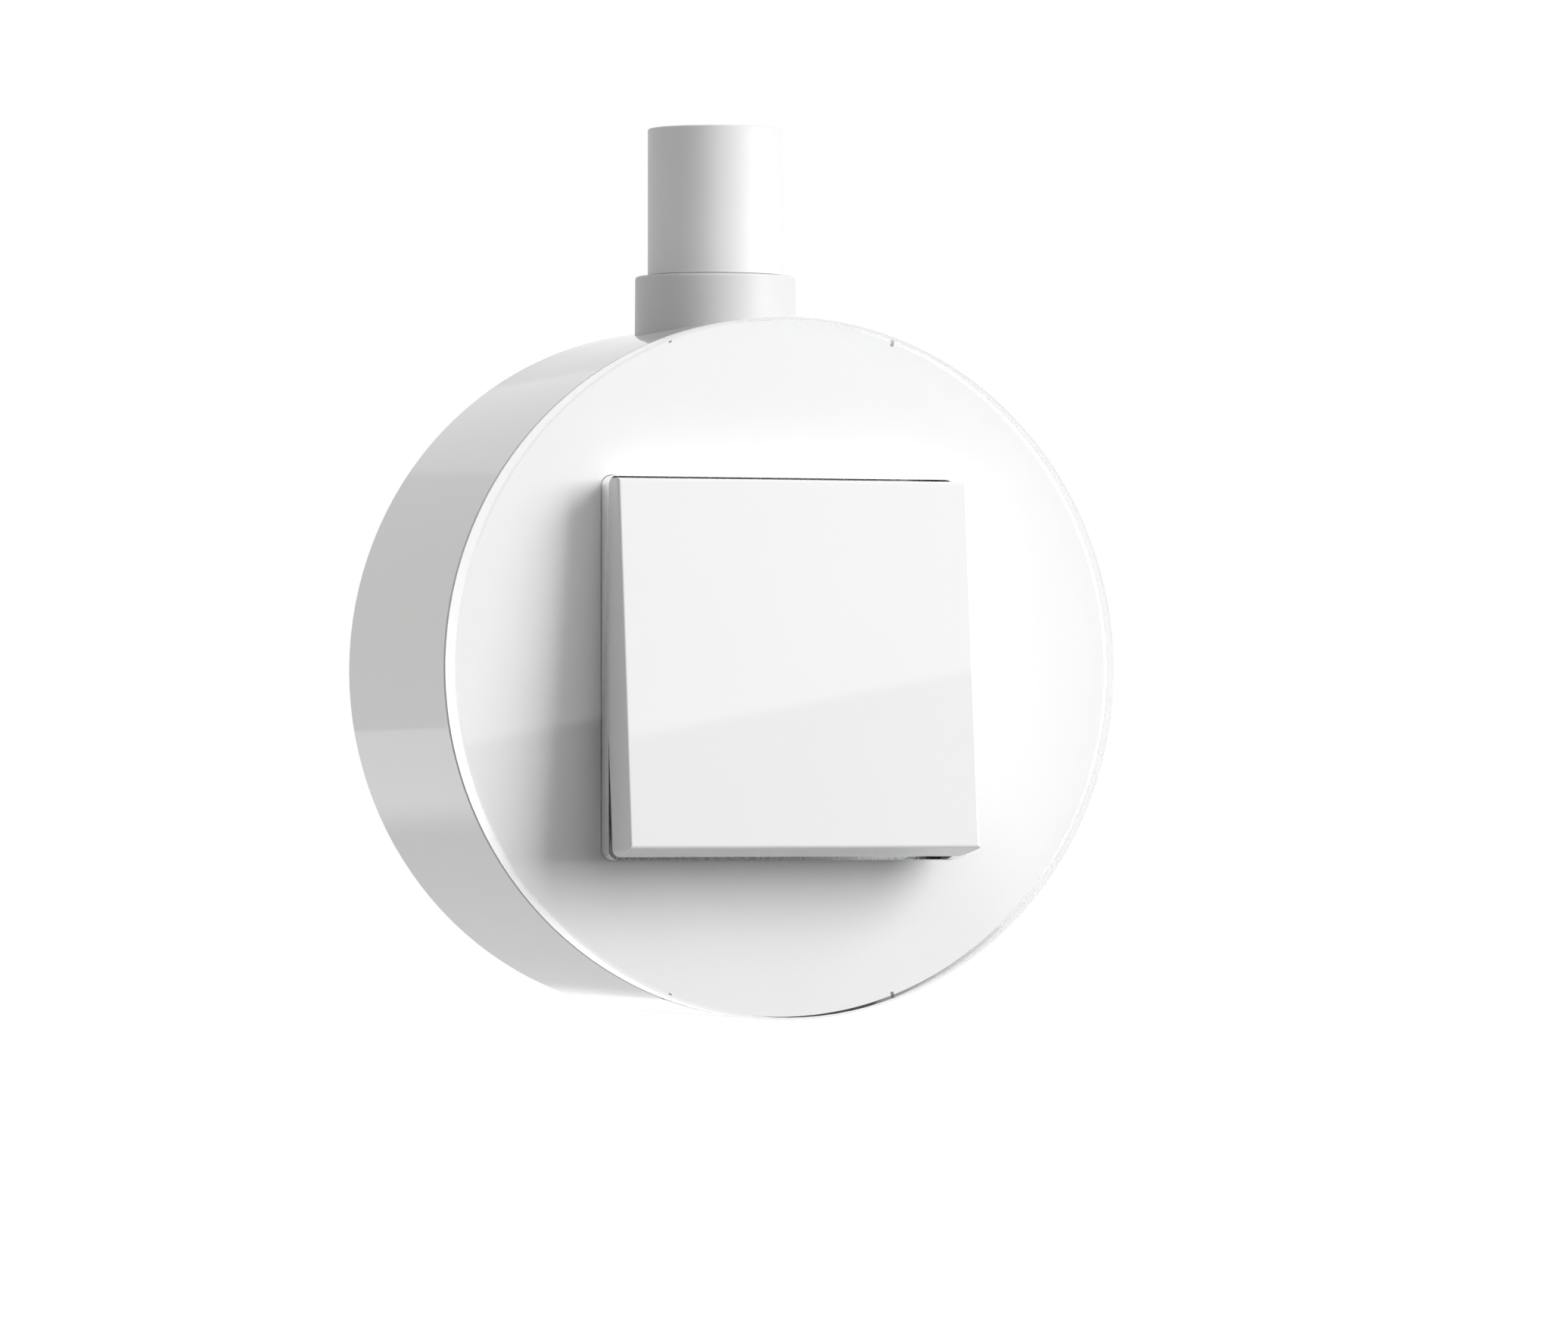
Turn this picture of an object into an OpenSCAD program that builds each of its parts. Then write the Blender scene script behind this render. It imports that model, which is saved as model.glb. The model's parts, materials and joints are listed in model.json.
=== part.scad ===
// Round surface-mounted rocker switch with a glass front and a conduit entry at the top.
// All sizes are in millimetres.
//
// Row frame: X to the right, Y into the wall, Z up towards the conduit. The origin is the
// centre of the back, on the wall. Most modules draw in the plan frame instead: x to the
// right, y up and z out of the wall, which from_wall() turns into the row frame.

/* [Housing] */
// Outside diameter of the round housing and of the glass front
housing_d = 101; // [100.6:0.1:101.6]
// Depth of the housing from the wall to its front edge
housing_depth = 44.4; // [44:0.1:45]
// Thickness of the housing's round wall
housing_wall = 2.6; // [2.2:0.1:2.8]

/* [Glass front] */
// Thickness of the glass
glass_t = 5; // [4.6:0.1:5.4]
// Side of the square opening in the glass
opening_w = 55; // [55:0.1:55.2]
// Corner radius of the opening
opening_r = 1.5; // [1:0.1:2]

/* [Rocker] */
// Width of the rocker's face
face_w = 53.5; // [53:0.1:53.6]
// Height of the rocker's face
face_h = 53; // [52.6:0.1:53]
// Distance from the pivot axis to the rocker's face
face_to_pivot = 6.5; // [6.3:0.1:6.8]
// Tilt of the rocker to either side of its middle position, in degrees
rocker_tilt = 5.7; // [5:0.1:5.8]

/* [Conduit] */
// Outside diameter of the rigid conduit (nominal size 20)
conduit_d = 19.8; // [19.6:0.1:20]
// Bore of the conduit
conduit_bore = 17; // [16.4:0.1:17.2]
// Distance from the wall to the conduit's axis
conduit_standoff = 18.5; // [18:0.1:19]
// Height of the conduit's cut end above the switch's centre
conduit_end = 79.5; // [75:0.5:90]
// Outside diameter of the collar at its mouth
collar_d = 23.5; // [23.3:0.1:24]
// Height of the collar's mouth above the switch's centre
collar_top = 57.8; // [57:0.1:59]

/* [Fixing] */
// Distance between the wall-screw slots, side to side
wall_slot_dx = 40; // [38:1:42]
// Distance between the wall-screw slots, up and down
wall_slot_dy = 68; // [66:1:69]
// Width of a wall-screw slot
wall_slot_w = 4.5; // [4.2:0.1:4.6]
// End-to-end length of a wall-screw slot
wall_slot_len = 8; // [7:0.5:9]
// Distance between the two screws that hold the support ring
device_screw_dx = 60.3; // [60:0.1:60.6]

/* [Hidden] */

$fn = 96;
eps = 0.01;
big = 200;

// Housing and glass
housing_r = housing_d / 2;
shell_inner_r = housing_r - housing_wall;
edge_chamfer = 0.3;
plate_t = 3;
plate_gap = 0.3;
coat_t = 0.15;
coat_inset = 0.4;
coat_z = housing_depth;
glass_z = coat_z + coat_t;
front_z = glass_z + glass_t;
pry_angles = [70, 110, 250, 290];

// Ledge inside the housing that the cover frame snaps under
ledge_r = 45.9;
ledge_z = 38.5;
ledge_t = 1.5;

// Cover frame and the tape that holds the glass on it
tape_t = 0.7;
cover_plate_t = 2;
cover_r = shell_inner_r - 0.5;
cover_top_z = coat_z - tape_t;
cover_opening_w = opening_w + 0.6;
cover_rim_t = 1.3;
hook_w = 8;

// Screws between the housing and the back plate
shell_screw_angles = [30, 150, 210, 330];
shell_screw_r = 42.5;
boss_r = 3.6;
boss_top_z = 7;
lug_t = 3.4;

// Back plate: screw pillars, earth pad and rear cable knock-out
pillar_r = 4;
pillar_web_h = 16;
earth_y = -36;
earth_z = 4.5;
earth_h = 6.5;
knock_out_y = 16;
knock_out_r = 11;
knock_out_w = 0.8;
knock_out_depth = 2;

// Support ring and the insert behind the rocker
ring_z = 34.8;
ring_t = 1.2;
ring_w = 70;
ring_cut = 41;
insert_w = 42;
insert_r = 2;
insert_z = 13;
insert_wall = 2;
spigot_r = 19.7;
spigot_inner_r = 17;
rivet_xy = 17.8;
cover_t = 2;
cover_z = ring_z + ring_t;
rib_x = 7.7;
rib_top_z = 21.3;
button_x = 13.4;
button_w = 6;
button_h = 7;
wire_x = 11.8;
wire_y = 8;
wire_r = 1.6;

// Rocker
pivot_z = front_z - 2;
base_w = 54;
base_h = 54.3;
skirt_z = -0.4;
cap_t = 1.9;
edge_r = 0.45;
trunnion_r = 2;
trunnion_clearance = 0.06;
ear_x = 12;
ear_t = 3;
ear_top_r = 3.4;
ear_foot = 7;
stop_x = 7.5;
stop_y = 8.2;
stop_h = 8.2;
yoke_half_x = 11.4;
yoke_half_y = 9.6;
guide_r = 3.4;
plunger_r = 2;
plunger_tip = 19.3;

// Contact lever, which rocks the other way
lever_z = 27;
lever_tilt = 1.4 * rocker_tilt;
contact_y = 6.8;
contact_t = 0.8;
contact_gap = 0.15;

// Conduit
conduit_r = conduit_d / 2;
seated_r = conduit_r - 0.2;
collar_r = collar_d / 2;
collar_draft = 0.13;
neck_r = 10.95;
neck_z = 43.5;
pipe_stop_z = 46;
seal_z = 52.5;
seal_h = 2;
seal_r = 10.9;

// ---------------------------------------------------------------- frames and helpers

// Plan frame (x right, y up, z out of the wall) to the row frame
module from_wall() {
    rotate([90, 0, 0]) children();
}

// The rocker's own frame: origin on the pivot, z towards its face, top side pressed in
module on_rocker() {
    from_wall() translate([0, 0, pivot_z]) rotate([-rocker_tilt, 0, 0]) children();
}

// The contact lever's own frame: origin on its knife edge, lower end pressed in
module on_lever(tilt = lever_tilt) {
    from_wall() translate([0, 0, lever_z]) rotate([tilt, 0, 0]) children();
}

// Local z along the conduit's axis, upwards
module along_conduit() {
    from_wall() translate([0, 0, conduit_standoff]) rotate([-90, 0, 0]) children();
}

module rounded_rect(w, h, r) {
    square([w - 2 * r, h], center = true);
    square([w, h - 2 * r], center = true);
    for (x = [-1, 1], y = [-1, 1])
        translate([x * (w / 2 - r), y * (h / 2 - r)]) circle(r = r, $fn = 48);
}

module slot_2d(length, width) {
    square([length - width, width], center = true);
    for (x = [-1, 1])
        translate([x * (length - width) / 2, 0]) circle(d = width, $fn = 48);
}

module box(x, y, z) {
    translate([x[0], y[0], z[0]]) cube([x[1] - x[0], y[1] - y[0], z[1] - z[0]]);
}

module at_polar(angles, r) {
    for (a = angles)
        rotate([0, 0, a]) translate([r, 0, 0]) children();
}

module both_sides(spacing) {
    for (x = [-1, 1])
        translate([x * spacing / 2, 0, 0]) children();
}

// Pan-head screw: head on z = 0 and upwards, shank downwards, with a cross recess
module screw(head_r, head_t, shank_r, shank_len) {
    difference() {
        union() {
            rotate_extrude() polygon([
                [0, 0], [head_r, 0], [head_r, head_t * 0.6], [head_r * 0.75, head_t], [0, head_t]]);
            translate([0, 0, -shank_len]) cylinder(r = shank_r, h = shank_len + eps, $fn = 48);
        }
        for (a = [0, 90])
            rotate([0, 0, a]) translate([0, 0, head_t])
                cube([head_r * 1.1, head_r * 0.26, head_t], center = true);
    }
}

// Points of an arc, from one angle to another in equal steps
function arc(centre, r, from, to, steps = 6) =
    [for (i = [0:steps]) let (a = from + (to - from) * i / steps) centre + r * [cos(a), sin(a)]];

// Outline of a bent strip of even thickness that follows a path
function unit(v) = v / norm(v);
function side(v) = [-v[1], v[0]];
function strip_normal(path, i) =
    let (last = len(path) - 1,
         before = i > 0 ? unit(path[i] - path[i - 1]) : unit(path[1] - path[0]),
         after = i < last ? unit(path[i + 1] - path[i]) : before)
    side(unit(before + after));
function strip_outline(path, t) = concat(
    [for (i = [0:len(path) - 1]) path[i] + strip_normal(path, i) * t / 2],
    [for (i = [len(path) - 1:-1:0]) path[i] - strip_normal(path, i) * t / 2]);

// ---------------------------------------------------------------- housing

module back_plate() {
    color("white") from_wall() difference() {
        union() {
            cylinder(r = shell_inner_r - plate_gap, h = plate_t);
            at_polar(shell_screw_angles, shell_screw_r) cylinder(r = boss_r, h = boss_top_z, $fn = 48);
            both_sides(device_screw_dx) {
                cylinder(r = pillar_r, h = ring_z, $fn = 48);
                box([-0.8, 0.8], [-8, 8], [0, pillar_web_h]);
            }
            box([-7, 7], [earth_y - 5, earth_y + 5], [0, earth_z]);
        }
        at_polar(shell_screw_angles, shell_screw_r)
            translate([0, 0, 1]) cylinder(r = 1.35, h = big, $fn = 48);
        both_sides(device_screw_dx)
            translate([0, 0, 20]) cylinder(r = 1.5, h = big, $fn = 48);
        for (x = [-1, 1], y = [-1, 1])
            translate([x * wall_slot_dx / 2, y * wall_slot_dy / 2, -1]) {
                linear_extrude(big) slot_2d(wall_slot_len, wall_slot_w);
                translate([0, 0, 3]) linear_extrude(big) slot_2d(wall_slot_len + 4.5, wall_slot_w + 4.5);
            }
        knock_out_groove();
    }
}

// Thin ring in the back that a rear cable entry is broken out along
module knock_out_groove() {
    translate([0, knock_out_y, -1]) difference() {
        cylinder(r = knock_out_r, h = knock_out_depth + 1);
        cylinder(r = knock_out_r - knock_out_w, h = knock_out_depth + 1);
    }
}

module housing_shell() {
    color("white") from_wall() difference() {
        union() {
            rotate_extrude($fn = 192) polygon([
                [shell_inner_r, 0], [housing_r - edge_chamfer, 0], [housing_r, edge_chamfer],
                [housing_r, housing_depth - edge_chamfer], [housing_r - edge_chamfer, housing_depth],
                [shell_inner_r, housing_depth], [shell_inner_r, ledge_z + ledge_t],
                [ledge_r, ledge_z + ledge_t], [ledge_r, ledge_z], [shell_inner_r, ledge_z]]);
            intersection() {
                translate([0, 0, boss_top_z + 0.1]) at_polar(shell_screw_angles, shell_screw_r) {
                    cylinder(r = boss_r, h = lug_t, $fn = 48);
                    box([0, 7], [-boss_r, boss_r], [0, lug_t]);
                }
                cylinder(r = shell_inner_r + 1, h = big);
            }
        }
        at_polar(shell_screw_angles, shell_screw_r) cylinder(r = 1.7, h = 20, $fn = 48);
        translate([0, 0, conduit_standoff]) rotate([-90, 0, 0]) cylinder(r = neck_r + 0.05, h = big);
        at_polar(pry_angles, housing_r - 0.6)
            box([-0.4, 1], [-0.25, 0.25], [housing_depth - 0.8, housing_depth + 1]);
    }
}

module shell_screws() {
    color("silver") from_wall() at_polar(shell_screw_angles, shell_screw_r)
        translate([0, 0, boss_top_z + 0.1 + lug_t]) screw(2.9, 1.9, 1.3, 8.5);
}

// ---------------------------------------------------------------- conduit entry

module conduit_collar() {
    color("white") difference() {
        union() {
            difference() {
                along_conduit() rotate_extrude() polygon([
                    [0, 40], [collar_r + collar_draft, 40], [collar_r, collar_top - 0.4],
                    [collar_r - 0.12, collar_top - 0.1], [collar_r - 0.4, collar_top], [0, collar_top]]);
                from_wall() translate([0, 0, -1]) cylinder(r = housing_r, h = big, $fn = 192);
            }
            along_conduit() translate([0, 0, neck_z]) cylinder(r = neck_r, h = collar_top - neck_z - 1);
        }
        along_conduit() {
            translate([0, 0, 30]) cylinder(d = conduit_bore, h = 30);
            translate([0, 0, pipe_stop_z]) cylinder(r = conduit_r + 0.15, h = 30);
            translate([0, 0, seal_z]) cylinder(r = seal_r, h = seal_h);
        }
    }
}

module collar_lock_ring() {
    ring_h = 2;
    color("gainsboro") along_conduit() translate([0, 0, neck_z + 0.3]) difference() {
        cylinder(r = 13.4, h = ring_h);
        translate([0, 0, -1]) cylinder(r = neck_r + 0.05, h = ring_h + 2);
        at_polar([45, 135, 225, 315], 13.2)
            cube([1.6, 2.4, 2 * ring_h + 1], center = true);
    }
}

// The end that sits in the collar is turned down, with its shoulder just above the mouth
module conduit_pipe() {
    bottom = pipe_stop_z + 0.1;
    step_z = collar_top + 0.2;
    inner_r = conduit_bore / 2;
    color("whitesmoke") along_conduit() rotate_extrude() polygon([
        [inner_r, bottom], [seated_r - 0.2, bottom], [seated_r, bottom + 0.2],
        [seated_r, step_z], [conduit_r, step_z],
        [conduit_r, conduit_end - 0.15], [conduit_r - 0.15, conduit_end], [inner_r, conduit_end]]);
}

module pipe_seal_ring() {
    inner_r = seated_r + 0.02;
    outer_r = seal_r - 0.02;
    low = seal_z + 0.1;
    high = seal_z + seal_h - 0.1;
    color("dimgray") along_conduit() rotate_extrude() polygon([
        [inner_r, low + 0.3], [inner_r + 0.3, low], [outer_r, low],
        [outer_r, high], [inner_r + 0.3, high], [inner_r, high - 0.3]]);
}

// ---------------------------------------------------------------- glass front

module opening_2d(extra = 0) {
    rounded_rect(opening_w + extra, opening_w + extra, opening_r + extra / 2);
}

module glass_front() {
    front_chamfer = 0.35;
    color([0.93, 0.97, 0.97, 0.4]) from_wall() difference() {
        rotate_extrude($fn = 192) polygon([
            [0, glass_z], [housing_r - coat_inset, glass_z], [housing_r, glass_z + coat_inset],
            [housing_r, front_z - front_chamfer], [housing_r - front_chamfer, front_z], [0, front_z]]);
        linear_extrude(big) opening_2d();
    }
}

// White coat on the back of the glass, with a small notch over each pry slot
module enamel_coat() {
    coat_r = housing_r - coat_inset;
    color("white") from_wall() translate([0, 0, coat_z]) difference() {
        cylinder(r = coat_r, h = coat_t, $fn = 192);
        translate([0, 0, -1]) linear_extrude(big) opening_2d(0.2);
        at_polar(pry_angles, coat_r) cube([0.9, 0.5, 2], center = true);
    }
}

module bonding_tape() {
    color("gainsboro") from_wall() translate([0, 0, cover_top_z]) linear_extrude(tape_t) difference() {
        circle(r = cover_r - 0.4);
        opening_2d(3);
    }
}

module cover_frame() {
    plate_z = cover_top_z - cover_plate_t;
    color("white") from_wall() {
        linear_extrude_between(plate_z, cover_top_z) difference() {
            circle(r = cover_r);
            rounded_rect(cover_opening_w, cover_opening_w, opening_r);
        }
        linear_extrude_between(plate_z - 2.2, plate_z + eps) difference() {
            rounded_rect(cover_opening_w + 2 * cover_rim_t, cover_opening_w + 2 * cover_rim_t, 2.8);
            rounded_rect(cover_opening_w, cover_opening_w, opening_r);
        }
        linear_extrude_between(ledge_z + ledge_t + 0.1, plate_z + eps) difference() {
            circle(r = cover_r);
            circle(r = cover_r - 1.4);
        }
        at_polar([45, 135, 225, 315], 0) snap_hook(plate_z);
    }
}

module linear_extrude_between(low, high) {
    translate([0, 0, low]) linear_extrude(high - low) children();
}

// Leg with a barb that snaps under the housing's ledge
module snap_hook(top) {
    leg_inner = ledge_r - 1.7;
    leg_outer = ledge_r - 0.3;
    barb = ledge_r + 0.9;
    catch = ledge_z - 0.2;
    rotate([90, 0, 0]) translate([0, 0, -hook_w / 2]) linear_extrude(hook_w) polygon([
        [leg_inner, top + eps], [leg_outer, top + eps], [leg_outer, catch], [barb, catch],
        [barb, catch - 0.4], [leg_outer, catch - 1.7], [leg_inner, catch - 1.7]]);
}

// ---------------------------------------------------------------- insert behind the rocker

module support_ring() {
    color("silver") from_wall() translate([0, 0, ring_z]) linear_extrude(ring_t) difference() {
        intersection() {
            rounded_rect(ring_w, ring_w, 2);
            rotate([0, 0, 45]) square(2 * ring_cut, center = true);
        }
        circle(r = 20);
        rivet_pattern() circle(r = 1.25, $fn = 48);
        both_sides(device_screw_dx) rotate([0, 0, 90]) slot_2d(7, 3.4);
        for (y = [-1, 1])
            translate([0, y * device_screw_dx / 2]) slot_2d(7, 3.4);
        for (x = [-1, 1], y = [-1, 1])
            translate([x * 15, y * 30]) rounded_rect(7, 3, 0.6);
    }
}

module rivet_pattern() {
    for (x = [-1, 1], y = [-1, 1])
        translate([x * rivet_xy, y * rivet_xy, 0]) children();
}

module support_screws() {
    color("silver") from_wall() both_sides(device_screw_dx)
        translate([0, 0, ring_z + ring_t]) screw(3.3, 2.1, 1.45, 15);
}

// Hollow rivets through the bearing cover, the support ring and the base's corner posts
module frame_rivets() {
    bottom = ring_z - 5;
    top = cover_z + cover_t;
    color("gold") from_wall() rivet_pattern() rotate_extrude($fn = 48) polygon([
        [0.7, bottom], [1.2, bottom], [1.2, top], [2.2, top],
        [1.9, top + 0.5], [0.9, top + 0.5], [0.7, top + 0.3]]);
}

module switch_base() {
    floor_z = insert_z + insert_wall;
    cavity_w = insert_w - 2 * insert_wall;
    color("dimgray") from_wall() difference() {
        union() {
            difference() {
                linear_extrude_between(insert_z, ring_z) rounded_rect(insert_w, insert_w, insert_r);
                linear_extrude_between(floor_z, ring_z + 1) rounded_rect(cavity_w, cavity_w, 1);
            }
            intersection() {
                translate([0, 0, insert_z]) rivet_pattern()
                    cylinder(r = 3.2, h = ring_z - insert_z, $fn = 48);
                linear_extrude_between(insert_z, ring_z) rounded_rect(insert_w, insert_w, insert_r);
            }
            for (x = [-1, 1])
                box([x * rib_x - 0.5, x * rib_x + 0.5],
                    [-cavity_w / 2 - 1, cavity_w / 2 + 1],
                    [floor_z - 1, rib_top_z]);
        }
        translate([0, 0, ring_z - 6]) rivet_pattern() cylinder(r = 1.25, h = 10, $fn = 48);
        for (x = [-1, 1]) {
            for (y = [-1, 1])
                translate([x * wire_x, y * wire_y, insert_z - 1])
                    cylinder(r = wire_r, h = insert_wall + 2, $fn = 48);
            translate([x * button_x, 0, insert_z - 1]) linear_extrude(insert_wall + 2)
                rounded_rect(button_w + 0.6, button_h + 0.6, 0.5);
        }
    }
}

// Front of the insert: closes the base and carries the rocker's two bearing ears
module bearing_cover() {
    ear_h = pivot_z - cover_z;
    color("dimgray") from_wall() difference() {
        union() {
            linear_extrude_between(cover_z, cover_z + cover_t) rounded_rect(insert_w, insert_w, insert_r);
            translate([0, 0, ring_z + 0.1]) cylinder(r = spigot_r, h = ring_t);
            for (x = [-1, 1])
                translate([x * (ear_x + ear_t / 2) - ear_t / 2, 0, cover_z]) rotate([90, 0, 90]) {
                    linear_extrude(ear_t) polygon([
                        [-ear_foot, 0], [ear_foot, 0], [ear_top_r, ear_h], [-ear_top_r, ear_h]]);
                    translate([0, ear_h, 0]) cylinder(r = ear_top_r, h = ear_t);
                }
            for (x = [-1, 1], y = [-1, 1])
                translate([x * stop_x, y * stop_y, cover_z]) linear_extrude(stop_h)
                    rounded_rect(3, 2.6, 0.4);
        }
        translate([0, 0, ring_z - 1]) cylinder(r = spigot_inner_r, h = 1 + ring_t);
        linear_extrude_between(cover_z - 1, cover_z + cover_t + 1) rounded_rect(8, 12, 1);
        translate([0, 0, cover_z - 1]) rivet_pattern() cylinder(r = 1.25, h = 10, $fn = 48);
        translate([-20, 0, pivot_z]) rotate([0, 90, 0]) cylinder(r = trunnion_r + trunnion_clearance, h = 40);
    }
}

// ---------------------------------------------------------------- rocker

// Wall profile with rounded front edges, from the skirt's edge up to the face
function cap_profile(face, base, z_low, z_high, r) =
    let (draft = atan((base - face) / 2 / (z_high - z_low)),
         x = face / 2 - r * tan((90 - draft) / 2),
         z = z_high - r)
    concat(
        [[-base / 2, z_low], [base / 2, z_low]],
        arc([x, z], r, draft, 90),
        arc([-x, z], r, 90, 180 - draft));

module cap_solid(w, h, w_base, h_base, z_low, z_high, r_edge, r_corner) {
    intersection() {
        rotate([90, 0, 0]) translate([0, 0, -big / 2])
            linear_extrude(big) polygon(cap_profile(w, w_base, z_low, z_high, r_edge));
        rotate([90, 0, 90]) translate([0, 0, -big / 2])
            linear_extrude(big) polygon(cap_profile(h, h_base, z_low, z_high, r_edge));
        linear_extrude_between(z_low - 1, z_high + 1) rounded_rect(w_base, h_base, r_corner);
    }
}

module rocker_cap() {
    inner_top = face_to_pivot - cap_t;
    yoke_top = 3.4;
    color("white") on_rocker() {
        difference() {
            cap_solid(face_w, face_h, base_w, base_h, skirt_z, face_to_pivot, edge_r, 1.1);
            cap_solid(face_w - 3.2, face_h - 3.2, base_w - 3.2, base_h - 3.2,
                      skirt_z - 1, inner_top, 0.3, 0.6);
        }
        for (y = [-7, 7])
            box([-10, 10], [y - 0.6, y + 0.6], [yoke_top + 0.05, inner_top + 0.5]);
        for (x = [-18, 18])
            box([x - 0.5, x + 0.5], [-24, 24], [inner_top - 1.6, inner_top + 0.5]);
        for (s = [-1, 1])
            cap_clip(s, inner_top);
    }
}

// Clip on the cap's inside that hooks under the yoke's edge
module cap_clip(s, inner_top) {
    near = yoke_half_y + 0.15;
    far = near + 1.3;
    barb = yoke_half_y - 0.7;
    width = 7;
    rotate([90, 0, 90]) translate([0, 0, -width / 2]) linear_extrude(width) polygon([
        [s * near, inner_top + 0.5], [s * far, inner_top + 0.5], [s * far, -3.6],
        [s * (near - 0.2), -3.6], [s * barb, -2.7], [s * barb, -2.1], [s * near, -2.1]]);
}

module rocker_yoke() {
    top = 3.4;
    bottom = -2;
    color("gainsboro") on_rocker() difference() {
        union() {
            box([-yoke_half_x, yoke_half_x], [-yoke_half_y, yoke_half_y], [bottom, top]);
            translate([-15.2, 0, 0]) rotate([0, 90, 0]) cylinder(r = trunnion_r, h = 30.4);
            translate([0, 0, -8]) cylinder(r = guide_r, h = 8);
        }
        for (x = [-1, 1])
            translate([x * 7.2, 0, 2.4]) cube([4.8, 15, 3], center = true);
        translate([0, 0, -10]) cylinder(r = plunger_r + 0.06, h = 11.6);
    }
}

module plunger() {
    body_top = -3;
    nose_z = -plunger_tip + plunger_r;
    color("ivory") on_rocker() difference() {
        union() {
            translate([0, 0, nose_z]) cylinder(r = plunger_r, h = body_top - nose_z);
            translate([0, 0, nose_z]) sphere(r = plunger_r, $fn = 48);
        }
        translate([0, 0, -10]) cylinder(r = 1.5, h = 10, $fn = 48);
    }
}

module plunger_spring() {
    color("silver") on_rocker() translate([0, 0, -9.2])
        coil(mean_r = 1.1, wire_r = 0.18, height = 10.5, turns = 11, steps = 14, sides = 6);
}

// Helical wire as one closed polyhedron
module coil(mean_r, wire_r, height, turns, steps, sides) {
    rings = turns * steps;
    rise = height - 2 * wire_r;
    points = [for (i = [0:rings], j = [0:sides - 1])
        let (a = 360 * i / steps, b = 360 * j / sides, r = mean_r + wire_r * cos(b))
        [r * cos(a), r * sin(a), wire_r + rise * i / rings + wire_r * sin(b)]];
    walls = [for (i = [0:rings - 1], j = [0:sides - 1])
        let (k = (j + 1) % sides)
        [i * sides + j, i * sides + k, (i + 1) * sides + k, (i + 1) * sides + j]];
    start = [for (j = [sides - 1:-1:0]) j];
    end = [for (j = [0:sides - 1]) rings * sides + j];
    polyhedron(points, concat([start], walls, [end]), convexity = 10);
}

// ---------------------------------------------------------------- contacts and terminals

module contact_lever() {
    half_y = 8.6;
    color("peru") on_lever() {
        box([-3.5, 3.5], [-half_y, half_y], [0, 1]);
        for (x = [-1, 1])
            rotate([90, 0, 90]) translate([0, 0, x * 3.25 - 0.25]) linear_extrude(0.5)
                polygon([[-5, 0.5], [5, 0.5], [3.6, 2.3], [-3.6, 2.3]]);
    }
}

module lever_contacts() {
    color("silver") on_lever() for (y = [-1, 1])
        translate([0, y * contact_y, -contact_t]) cylinder(r = 1.5, h = contact_t, $fn = 48);
}

// The fixed contacts face the lever squarely when it is closed on their side
module blade_contacts() {
    color("silver") for (s = [-1, 1])
        on_lever(-s * lever_tilt)
            translate([0, s * contact_y, -2 * contact_t - contact_gap])
                cylinder(r = 1.6, h = contact_t, $fn = 48);
}

module common_blade() {
    half_t = 0.5;
    color("peru") from_wall() {
        rotate([90, 0, 90]) translate([0, 0, -3]) linear_extrude(6) polygon([
            [-half_t, 15.05], [half_t, 15.05], [half_t, lever_z - 0.8],
            [0, lever_z - 0.15], [-half_t, lever_z - 0.8]]);
        box([-9, -2.9], [-half_t, half_t], [rib_top_z + 0.2, 25.5]);
        box([-9.6, -8.8], [-12, 12], [17, 25.5]);
    }
}

// Blade of the upper contact (s = 1) or of the lower contact (s = -1)
module fixed_blade(s) {
    strip_t = 0.8;
    leg_y = 9;
    foot_top = 23.4;
    tip_z = -2 * contact_t - contact_gap;
    color("peru") {
        on_lever(-s * lever_tilt)
            translate([0, s * 6.95, tip_z - strip_t / 2]) cube([4.4, 4.9, strip_t], center = true);
        from_wall() {
            translate([0, s * leg_y, 0]) {
                box([-2.5, 2.5], [-strip_t / 2, strip_t / 2], [15.05, foot_top + 0.6]);
                box([2, 9], [-0.3, 0.3], [rib_top_z + 0.2, foot_top]);
            }
            translate([9.2, s * 8.5, 0]) box([-strip_t / 2, strip_t / 2], [-3.5, 3.5], [17, foot_top + 0.3]);
        }
    }
}

module top_blade() {
    fixed_blade(1);
}

module bottom_blade() {
    fixed_blade(-1);
}

// Four bent springs that press a wire against the busbars
module terminal_springs() {
    strip_w = 4.5;
    path = concat(
        [[17.9, 15.3], [17.9, 26]], arc([15.6, 27], 2.3, 0, 180, 12), [[12.6, 24.5], [10, 20.5]]);
    color("silver") from_wall() for (x = [0, 1], y = [-1, 1])
        mirror([x, 0, 0]) translate([0, y * wire_y + strip_w / 2, 0]) rotate([90, 0, 0])
            linear_extrude(strip_w) polygon(strip_outline(path, 0.4));
}

// Wire release button, worked from the back of the insert
module release_button(s) {
    rear = insert_z - 1.8;
    color("darkorange") from_wall() translate([s * button_x, 0, 0]) {
        difference() {
            linear_extrude_between(rear, 19.5) rounded_rect(button_w, button_h, 0.6);
            translate([0, 0, rear]) cube([1, 4.6, 1.4], center = true);
        }
        box([-0.4, 1.6], [-10, 10], [17, 19]);
    }
}

module release_button_left() {
    release_button(-1);
}

module release_button_right() {
    release_button(1);
}

// ---------------------------------------------------------------- earth terminal

module earth_terminal() {
    color("gold") from_wall() translate([0, earth_y, earth_z]) difference() {
        box([-5, 5], [-3.5, 3.5], [0, earth_h]);
        translate([-10, 0, 2.7]) rotate([0, 90, 0]) cylinder(r = 1.7, h = 20, $fn = 48);
        translate([0, 0, 2]) cylinder(r = 1.55, h = 10, $fn = 48);
    }
}

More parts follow.
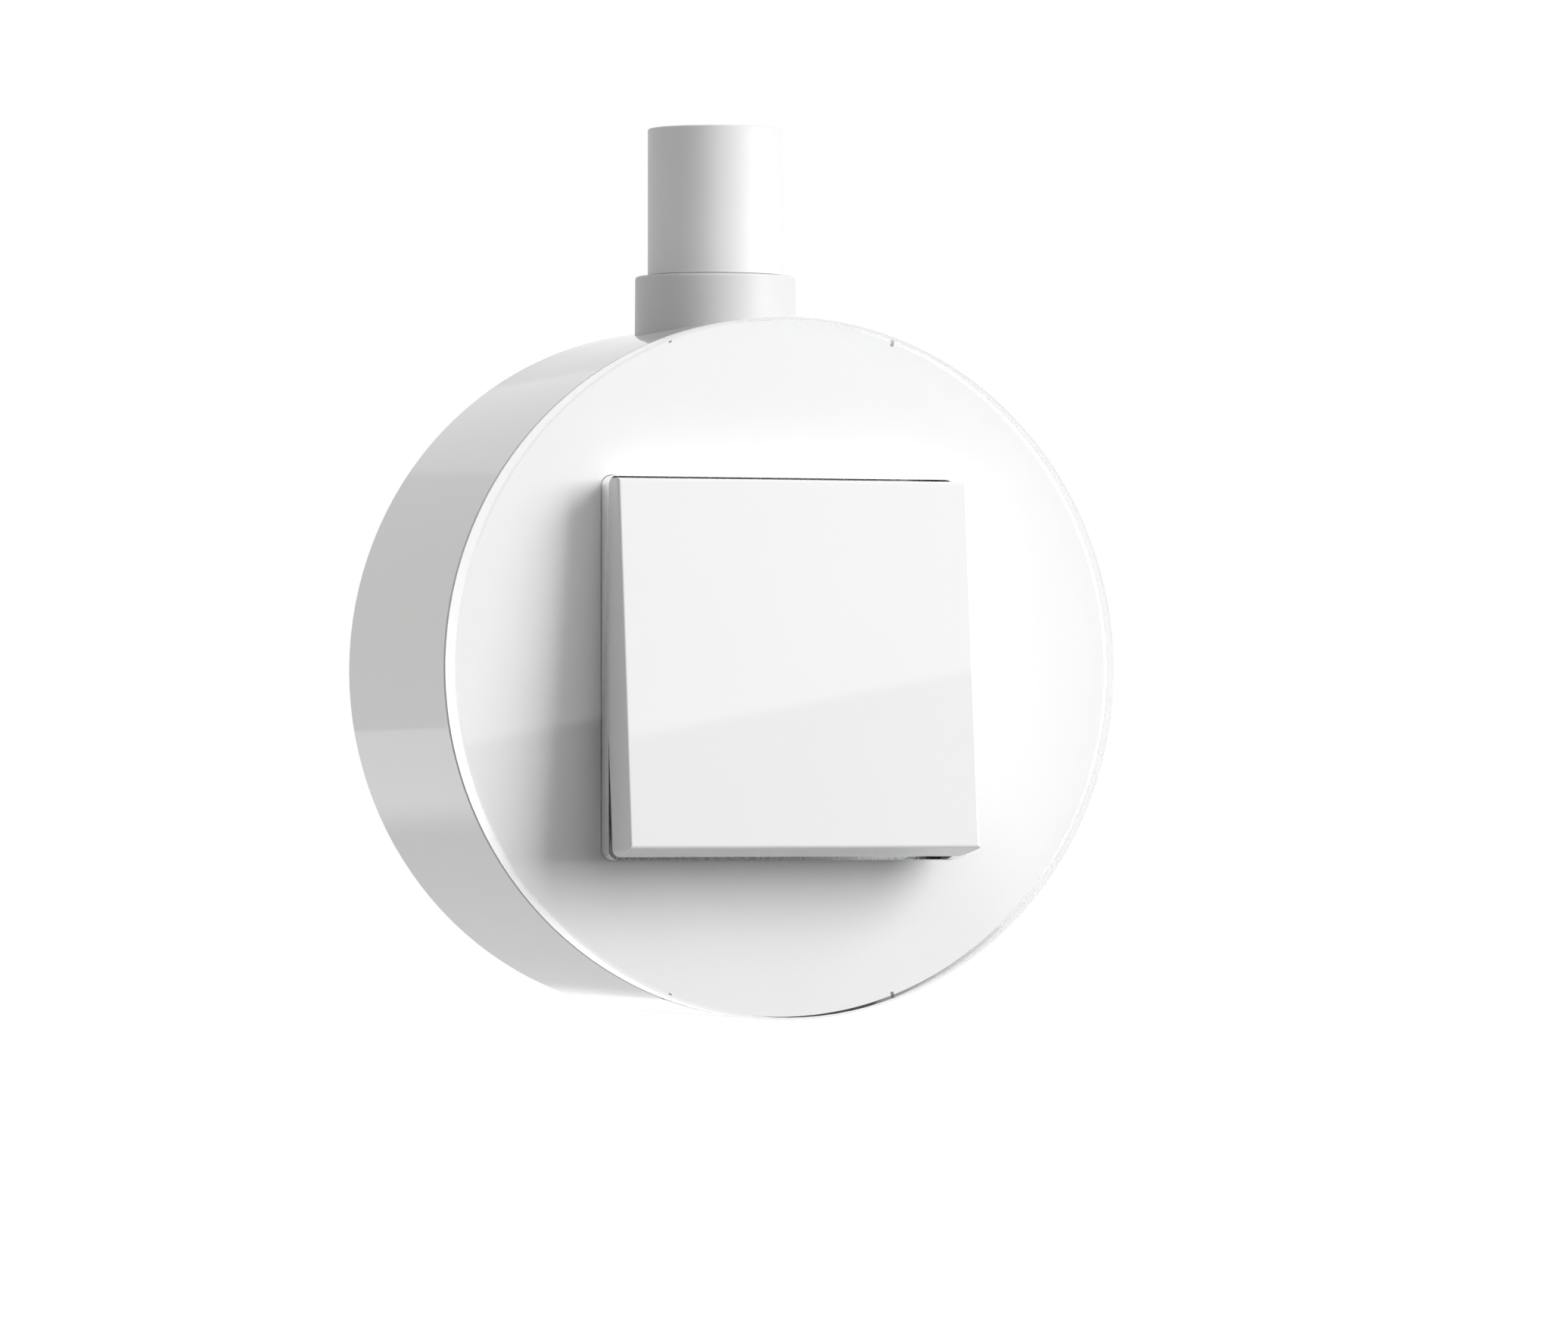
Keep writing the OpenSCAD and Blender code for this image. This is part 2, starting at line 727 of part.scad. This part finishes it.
module earth_screw() {
    color("silver") from_wall() translate([0, earth_y, earth_z + earth_h]) screw(2.8, 1.8, 1.5, 3);
}

// ---------------------------------------------------------------- output

back_plate();
housing_shell();
shell_screws();
conduit_collar();
collar_lock_ring();
conduit_pipe();
pipe_seal_ring();
glass_front();
enamel_coat();
bonding_tape();
cover_frame();
support_ring();
support_screws();
frame_rivets();
switch_base();
bearing_cover();
rocker_cap();
rocker_yoke();
plunger();
plunger_spring();
contact_lever();
lever_contacts();
common_blade();
top_blade();
bottom_blade();
blade_contacts();
terminal_springs();
release_button_left();
release_button_right();
earth_terminal();
earth_screw();
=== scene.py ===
"""Looks for the round surface-mounted rocker switch with a glass front.

Lengths are in metres in the CAD's row frame: X to the right, Y into the wall, Z up, with the origin
on the wall behind the centre of the switch. Azimuths and elevations are in degrees, see compass().
"""
import json
import math

import bpy
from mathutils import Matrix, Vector


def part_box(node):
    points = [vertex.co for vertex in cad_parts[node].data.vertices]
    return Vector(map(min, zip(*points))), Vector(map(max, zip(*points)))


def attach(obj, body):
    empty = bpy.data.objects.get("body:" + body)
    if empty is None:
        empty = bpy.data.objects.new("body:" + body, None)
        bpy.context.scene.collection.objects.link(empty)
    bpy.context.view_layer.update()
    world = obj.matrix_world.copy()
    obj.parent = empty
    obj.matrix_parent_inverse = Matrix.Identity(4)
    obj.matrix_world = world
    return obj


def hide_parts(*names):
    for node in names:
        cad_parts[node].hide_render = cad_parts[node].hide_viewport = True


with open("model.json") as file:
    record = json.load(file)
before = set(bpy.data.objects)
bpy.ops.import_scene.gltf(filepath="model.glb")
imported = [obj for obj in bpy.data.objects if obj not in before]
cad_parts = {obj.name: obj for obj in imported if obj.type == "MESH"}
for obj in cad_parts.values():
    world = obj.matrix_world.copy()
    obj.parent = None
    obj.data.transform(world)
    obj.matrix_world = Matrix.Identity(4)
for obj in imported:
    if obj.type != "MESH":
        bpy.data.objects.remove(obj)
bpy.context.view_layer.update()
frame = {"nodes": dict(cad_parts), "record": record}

MM = 0.001
nodes = frame["nodes"]
FRONT_CENTRE = Vector((0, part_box("glass_front")[0].y, 0))


def add_object(name, data):
    """A new object in the scene."""
    made = bpy.data.objects.new(name, data)
    bpy.context.scene.collection.objects.link(made)
    return made


def compass(azimuth, elevation):
    """Direction from the part: azimuth 0 is straight out of the wall, 90 is to the right."""
    a, e = math.radians(azimuth), math.radians(elevation)
    return Vector((math.sin(a) * math.cos(e), -math.cos(a) * math.cos(e), math.sin(e)))


# ------------------------------------------------------------------ camera

# How far the camera is turned to the right of straight at the wall, and tipped up
CAMERA_TURN = math.radians(20.52)
CAMERA_PITCH = math.radians(0.716)
CAMERA_DISTANCE = 1320.8 * MM
# The centre of the glass's front is this far right of the line of sight, and this far above the camera
CAMERA_SIDE = 0.78 * MM
CAMERA_DROP = 16.83 * MM
# The lens and sensor are in millimetres, as Blender has them
CAMERA_LENS = 211.23
CAMERA_SENSOR = 36
CAMERA_NEAR = 0.05
CAMERA_FAR = 20


def add_camera():
    """A long lens to the left of the switch and a little below its centre."""
    forward = Vector((math.sin(CAMERA_TURN), math.cos(CAMERA_TURN), 0))
    right = Vector((math.cos(CAMERA_TURN), -math.sin(CAMERA_TURN), 0))
    data = bpy.data.cameras.new("camera")
    data.sensor_fit = "HORIZONTAL"
    data.sensor_width = CAMERA_SENSOR
    data.lens = CAMERA_LENS
    data.clip_start = CAMERA_NEAR
    data.clip_end = CAMERA_FAR
    camera = add_object("camera", data)
    camera.location = (FRONT_CENTRE - forward * CAMERA_DISTANCE - right * CAMERA_SIDE
                       - Vector((0, 0, CAMERA_DROP)))
    camera.rotation_euler = (math.pi / 2 + CAMERA_PITCH, 0, -CAMERA_TURN)
    bpy.context.scene.camera = camera


# ------------------------------------------------------------------ node helpers

# Most of the noise lies between these values
NOISE_SPAN = (0.3, 0.7)


def new_material(name):
    material = bpy.data.materials.new(name)
    material.use_nodes = True
    tree = material.node_tree
    return material, tree, tree.nodes["Principled BSDF"]


def coordinates(tree, kind):
    return tree.nodes.new("ShaderNodeTexCoord").outputs[kind]


def maths(tree, operation, *operands):
    """Each operand is a number or another node's output."""
    node = tree.nodes.new("ShaderNodeMath")
    node.operation = operation
    for socket, operand in zip(node.inputs, operands):
        if isinstance(operand, (int, float)):
            socket.default_value = operand
        else:
            tree.links.new(operand, socket)
    return node.outputs["Value"]


def map_range(tree, value, source, target, interpolation="LINEAR"):
    """Carries value over from the source range to the target range and stops at its ends."""
    node = tree.nodes.new("ShaderNodeMapRange")
    node.interpolation_type = interpolation
    for socket, number in zip(("From Min", "From Max", "To Min", "To Max"), (*source, *target)):
        node.inputs[socket].default_value = number
    tree.links.new(value, node.inputs["Value"])
    return node.outputs["Result"]


def noise(tree, scale, detail, stretch=(1, 1, 1)):
    """Noise in object space. scale is in lumps per metre."""
    mapping = tree.nodes.new("ShaderNodeMapping")
    mapping.inputs["Scale"].default_value = stretch
    tree.links.new(coordinates(tree, "Object"), mapping.inputs["Vector"])
    texture = tree.nodes.new("ShaderNodeTexNoise")
    texture.inputs["Scale"].default_value = scale
    texture.inputs["Detail"].default_value = detail
    tree.links.new(mapping.outputs["Vector"], texture.inputs["Vector"])
    return texture.outputs["Fac"]


def mottle(tree, shader, pattern, darker, lighter):
    """Colour that follows a noise pattern."""
    node = tree.nodes.new("ShaderNodeMix")
    node.data_type = "RGBA"
    node.inputs["A"].default_value = (*darker, 1)
    node.inputs["B"].default_value = (*lighter, 1)
    tree.links.new(pattern, node.inputs["Factor"])
    tree.links.new(node.outputs["Result"], shader.inputs["Base Color"])


def vary_roughness(tree, shader, pattern, roughness, spread):
    """Roughness that follows a noise pattern, up and down by this share of it."""
    limits = (roughness * (1 - spread), roughness * (1 + spread))
    tree.links.new(map_range(tree, pattern, NOISE_SPAN, limits), shader.inputs["Roughness"])


def bump(tree, shader, height, distance):
    node = tree.nodes.new("ShaderNodeBump")
    node.inputs["Strength"].default_value = 1
    node.inputs["Distance"].default_value = distance
    tree.links.new(height, node.inputs["Height"])
    tree.links.new(node.outputs["Normal"], shader.inputs["Normal"])


# ------------------------------------------------------------------ materials

# Noise scales, in lumps per metre
CLOUD_SCALE = 60
GLOSS_SCALE = 240
TARNISH_SCALE = 140
SCRATCH_SCALE = 1500
WAVE_SCALE = 25

PLASTIC_IOR = 1.49
GLASS_IOR = 1.5
GLASS_TINT = (0.985, 0.995, 0.99, 1)
GROUND_EDGE = 0.4
WAVE_DEPTH = 0.002 * MM
SCRATCH_DEPTH = 0.004 * MM
# A surface counts as sideways below the first of these parts of its normal, and as a face above the second
FACE_SPAN = (0.2, 0.6)

PLASTICS = {
    "housing_plastic": dict(colour=(0.78, 0.777, 0.773), roughness=0.045),
    "rocker_plastic": dict(colour=(0.85, 0.85, 0.85), roughness=0.006, side_roughness=0.3),
    "conduit_plastic": dict(colour=(0.62, 0.62, 0.62), roughness=0.5, grain=0.003 * MM),
    # Painted shade: a darker copy of the white plastic for the collar, standing in for the shade that
    # falls on it
    "collar_painted_shade": dict(colour=(0.55, 0.55, 0.55), roughness=0.5, grain=0.003 * MM),
    "white_enamel": dict(colour=(0.865, 0.865, 0.865), roughness=0.35),
    "foam_tape": dict(colour=(0.7, 0.7, 0.7), roughness=0.8, grain=0.05 * MM, grain_scale=4000),
    "inner_plastic_light": dict(colour=(0.66, 0.66, 0.64), roughness=0.4, grain=0.01 * MM),
    "inner_plastic_dark": dict(colour=(0.03, 0.03, 0.032), roughness=0.45, variation=0.3,
                               grain=0.01 * MM),
    "button_plastic": dict(colour=(0.75, 0.16, 0.02), roughness=0.3, variation=0.05,
                           grain=0.008 * MM),
    "seal_rubber": dict(colour=(0.02, 0.02, 0.02), roughness=0.7, variation=0.3, grain=0.02 * MM),
}
METALS = {
    "zinc_steel": dict(colour=(0.66, 0.68, 0.7), roughness=0.28, stretch=(1, 1, 0.05)),
    "brass_parts": dict(colour=(0.78, 0.58, 0.24), roughness=0.25, stretch=(1, 1, 0.1)),
    "copper_parts": dict(colour=(0.8, 0.42, 0.24), roughness=0.3, stretch=(0.05, 1, 1)),
    "silver_contacts": dict(colour=(0.86, 0.85, 0.83), roughness=0.2),
}


def satin_sides(tree, shader, face_roughness, side_roughness):
    """Polished where the surface faces out of the wall or into it, satin where it faces sideways."""
    normal = tree.nodes.new("ShaderNodeSeparateXYZ")
    tree.links.new(coordinates(tree, "Normal"), normal.inputs["Vector"])
    facing = maths(tree, "ABSOLUTE", normal.outputs["Y"])
    roughness = map_range(tree, facing, FACE_SPAN, (side_roughness, face_roughness))
    tree.links.new(roughness, shader.inputs["Roughness"])


def plastic(name, colour, roughness, variation=0.01, grain=0, grain_scale=3000, side_roughness=None):
    """Moulded plastic: faint clouding in colour and gloss, and an optional spark-eroded grain.

    With a side_roughness the gloss depends on the way the surface faces instead.
    """
    material, tree, shader = new_material(name)
    lighter = [min(1, c * (1 + variation)) for c in colour]
    darker = [c * (1 - variation) for c in colour]
    mottle(tree, shader, noise(tree, CLOUD_SCALE, detail=4), darker, lighter)
    if side_roughness is None:
        vary_roughness(tree, shader, noise(tree, GLOSS_SCALE, detail=3), roughness, 0.1)
    else:
        satin_sides(tree, shader, roughness, side_roughness)
    shader.inputs["IOR"].default_value = PLASTIC_IOR
    if grain > 0:
        bump(tree, shader, noise(tree, grain_scale, detail=2), grain)
    return material


def metal(name, colour, roughness, stretch=(1, 1, 1), variation=0.06):
    """Rolled or turned metal: fine scratches along one way and slight tarnish."""
    material, tree, shader = new_material(name)
    darker = [c * (1 - variation) for c in colour]
    mottle(tree, shader, noise(tree, TARNISH_SCALE, detail=5), darker, colour)
    scratches = noise(tree, SCRATCH_SCALE, detail=4, stretch=stretch)
    vary_roughness(tree, shader, scratches, roughness, 0.3)
    shader.inputs["Metallic"].default_value = 1
    bump(tree, shader, scratches, SCRATCH_DEPTH)
    return material


def glass(name):
    """Clear glass with polished faces, a ground edge and a faint waviness."""
    material, tree, shader = new_material(name)
    shader.inputs["Base Color"].default_value = GLASS_TINT
    shader.inputs["Transmission Weight"].default_value = 1
    satin_sides(tree, shader, 0, GROUND_EDGE)
    shader.inputs["IOR"].default_value = GLASS_IOR
    bump(tree, shader, noise(tree, WAVE_SCALE, detail=1), WAVE_DEPTH)
    return material


def make_materials():
    materials = {name: plastic(name, **look) for name, look in PLASTICS.items()}
    materials.update({name: metal(name, **look) for name, look in METALS.items()})
    materials["clear_glass"] = glass("clear_glass")
    return materials


def dress_cad_nodes(materials):
    """Every CAD node takes the material of its slot in the record."""
    for entry in frame["record"]["subparts"]:
        node = nodes[entry["node"]]
        node.data.materials.clear()
        node.data.materials.append(materials[entry["material_slot"]])
    # Painted shade: the collar takes a darker copy of the white plastic, which stands in for the shade on
    # it and is not a colour of its own
    nodes["conduit_collar"].data.materials[0] = materials["collar_painted_shade"]


# ------------------------------------------------------------------ coat behind the glass

# How far the drawn coat stands in front of the one in the CAD
COAT_SHIFT = 0.02 * MM


def bond_coat_to_glass():
    """The coat, drawn a hair further forward.

    In the CAD its front lies in the plane of the glass's back. Shifted, a ray through the glass meets
    one surface there and not two at once.
    """
    bonded = add_object("bonded_coat", nodes["enamel_coat"].data.copy())
    for vertex in bonded.data.vertices:
        vertex.co.y -= COAT_SHIFT
    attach(bonded, "housing")
    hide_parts("enamel_coat")


def clear_way_to_coat():
    """Light reaches the white coat straight through the glass."""
    nodes["glass_front"].visible_shadow = False
    nodes["glass_front"].visible_diffuse = False


# ------------------------------------------------------------------ floor and lamps

FLOOR_HALF = 0.6
FLOOR_LEVEL = -0.9
FLOOR_COLOUR = (0.85, 0.85, 0.85)
FLOOR_ROUGHNESS = 0.9

# Azimuth, elevation, distance, (width, height) and power of each area light, aimed at the glass
AREA_LIGHTS = {
    "key_right": (51, 22, 1.5, (0.75, 1.1), 29),
    "key_top": (6, 55, 1.3, (1.0, 0.7), 0.8),
    "rim_left": (-74, 8, 1.5, (0.6, 1.0), 1.4),
}

SPOT_AZIMUTH = -12
SPOT_ELEVATION = 25
SPOT_DISTANCE = 1
SPOT_ANGLE = math.radians(2.6)
SPOT_BLEND = 0.3
SPOT_RADIUS = 0.01
SPOT_POWER = 11
# How far under the conduit's top the spot is aimed
SPOT_AIM_DEPTH = 8 * MM


def add_floor():
    """A plain pale floor, well below the part."""
    mesh = bpy.data.meshes.new("floor")
    corners = [(x * FLOOR_HALF, y * FLOOR_HALF, FLOOR_LEVEL)
               for x, y in ((-1, -1), (1, -1), (1, 1), (-1, 1))]
    mesh.from_pydata(corners, [], [(0, 1, 2, 3)])
    floor = add_object("floor", mesh)
    floor.data.materials.append(plastic("floor_paint", FLOOR_COLOUR, FLOOR_ROUGHNESS))


def place_light(data, aim, azimuth, elevation, distance):
    """Stands the light in this direction from its aim and turns it to face it."""
    towards = compass(azimuth, elevation)
    light = add_object(data.name, data)
    light.location = aim + towards * distance
    light.rotation_euler = (-towards).to_track_quat("-Z", "Y").to_euler()


def add_area_light(name, azimuth, elevation, distance, size, power):
    data = bpy.data.lights.new(name, "AREA")
    data.shape = "RECTANGLE"
    data.size, data.size_y = size
    data.energy = power
    place_light(data, FRONT_CENTRE, azimuth, elevation, distance)


def add_conduit_spot():
    """A narrow lamp from the left, on the conduit and its collar."""
    data = bpy.data.lights.new("conduit_spot", "SPOT")
    data.energy = SPOT_POWER
    data.spot_size = SPOT_ANGLE
    data.spot_blend = SPOT_BLEND
    data.shadow_soft_size = SPOT_RADIUS
    low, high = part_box("conduit_pipe")
    aim = Vector(((low.x + high.x) / 2, (low.y + high.y) / 2, high.z - SPOT_AIM_DEPTH))
    place_light(data, aim, SPOT_AZIMUTH, SPOT_ELEVATION, SPOT_DISTANCE)


# ------------------------------------------------------------------ room

# Brightness of the room in front of the part, and low down behind it
ROOM_FRONT = 0.11
ROOM_BELOW = 0.8
ROOM_SOFTNESS = 0.06
# Going up behind the part, the brightness changes at each of these elevations. After the elevation
# come the change and its softness. The drum's gloss mirrors these bands.
ROOM_BANDS = ((-14.2, 0.55, 0.03), (-5.8, -0.35, 0.003), (18.2, 0.18, 0.003), (28, -0.65, 0.06))
BAND_AZIMUTH = 197

# Two white cards to the front right, one above the other. The glass mirrors the bottom edge of the
# low one, and the rocker that of the high one. Each card is given by the elevation and slant of its
# bottom edge, the elevation of its top, and the azimuth from which it reaches down to CARD_FOOT.
LOW_CARD = (0.65, 11.5, 6.5, 21.9)
HIGH_CARD = (11.1, 7.0, 46, 38)
CARD_BRIGHTNESS = 1.27
CARD_LEFT = 2
CARD_RIGHT = 38
CARD_FOOT = -6
# Azimuth at which the elevations of the cards' edges hold
EDGE_AZIMUTH = 20.5
# How softly the cards end at their slanting edge, at the corner under it, and all round
SLANT_SOFTNESS = 0.0006
CORNER_SOFTNESS = 0.004
FOOT_SOFTNESS = 0.03
TOP_SOFTNESS = 0.05
SIDE_SOFTNESS = 0.04


def beyond(tree, direction, normal, softness):
    """1 on the side of a plane through the part that its normal points to, else 0."""
    dot = tree.nodes.new("ShaderNodeVectorMath")
    dot.operation = "DOT_PRODUCT"
    tree.links.new(direction, dot.inputs[0])
    dot.inputs[1].default_value = normal
    return map_range(tree, dot.outputs["Value"], (-softness, softness), (0, 1), "SMOOTHSTEP")


def above_slanting_edge(tree, direction, elevation, slant):
    """Above a line that climbs to the right and passes EDGE_AZIMUTH at this elevation."""
    point = compass(EDGE_AZIMUTH, elevation)
    sideways = compass(EDGE_AZIMUTH + 90, 0)
    upwards = point.cross(sideways)
    along = sideways * math.cos(math.radians(slant)) + upwards * math.sin(math.radians(slant))
    return beyond(tree, direction, point.cross(along), SLANT_SOFTNESS)


def white_card(tree, direction, bottom, slant, top, corner):
    """1 on the card, else 0."""
    above = above_slanting_edge(tree, direction, bottom, slant)
    right_of_corner = beyond(tree, direction, compass(corner + 90, 0), CORNER_SOFTNESS)
    card = maths(tree, "MAXIMUM", above, right_of_corner)
    ends = ((compass(EDGE_AZIMUTH, CARD_FOOT + 90), FOOT_SOFTNESS),
            (-compass(EDGE_AZIMUTH, top + 90), TOP_SOFTNESS),
            (compass(CARD_LEFT + 90, 0), SIDE_SOFTNESS),
            (-compass(CARD_RIGHT + 90, 0), SIDE_SOFTNESS))
    for normal, softness in ends:
        card = maths(tree, "MULTIPLY", card, beyond(tree, direction, normal, softness))
    return card


def add_room():
    """A world whose brightness depends on the direction only."""
    world = bpy.data.worlds.new("studio")
    world.use_nodes = True
    tree = world.node_tree
    background = tree.nodes["Background"]
    background.inputs["Color"].default_value = (1, 1, 1, 1)
    direction = coordinates(tree, "Generated")
    behind = beyond(tree, direction, (0, 1, 0), ROOM_SOFTNESS)
    level = ROOM_BELOW
    for elevation, change, softness in ROOM_BANDS:
        band = beyond(tree, direction, compass(BAND_AZIMUTH, elevation + 90), softness)
        level = maths(tree, "ADD", level, maths(tree, "MULTIPLY", band, change))
    brightness = maths(tree, "MULTIPLY", behind, level)
    front = maths(tree, "MULTIPLY", maths(tree, "SUBTRACT", 1, behind), ROOM_FRONT)
    brightness = maths(tree, "ADD", brightness, front)
    for card in (LOW_CARD, HIGH_CARD):
        lit = maths(tree, "MULTIPLY", white_card(tree, direction, *card), CARD_BRIGHTNESS)
        brightness = maths(tree, "ADD", brightness, lit)
    tree.links.new(brightness, background.inputs["Strength"])
    bpy.context.scene.world = world


# ------------------------------------------------------------------ scene

add_camera()
dress_cad_nodes(make_materials())
bond_coat_to_glass()
clear_way_to_coat()
add_floor()
for light_name, light in AREA_LIGHTS.items():
    add_area_light(light_name, *light)
add_conduit_spot()
add_room()
bpy.context.scene.view_settings.view_transform = "Standard"
